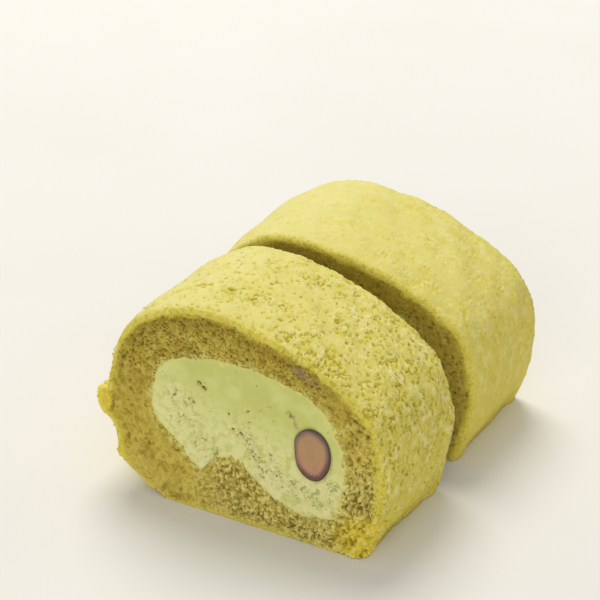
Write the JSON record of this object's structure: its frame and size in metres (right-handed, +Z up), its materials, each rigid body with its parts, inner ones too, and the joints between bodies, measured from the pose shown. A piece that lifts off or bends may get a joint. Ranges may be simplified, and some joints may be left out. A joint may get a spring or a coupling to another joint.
{
  "type": "swiss roll cake",
  "caption": "Green tea swiss roll cut across in two thick slices that stand in line, a sponge ring round pale cream, with a halved sweet bean in the front cut.",
  "frame": {"origin": "centre of the bounding box's footprint, on the surface the roll stands on", "axes": "+X across the roll towards its sharp lower corner, +Y along the roll from the front cut with the bean to the rear slice, +Z up"},
  "size_m": [0.0694, 0.0742, 0.0436],
  "materials": {
    "green_sponge": "matte, porous crumb",
    "green_cream": "soft satin",
    "red_bean": "moist satin"
  },
  "bodies": {
    "root": {"front_sponge": "green_sponge", "front_cream": "green_cream", "front_bean": "red_bean", "rear_sponge": "green_sponge", "rear_cream": "green_cream"}
  },
  "joints": []
}
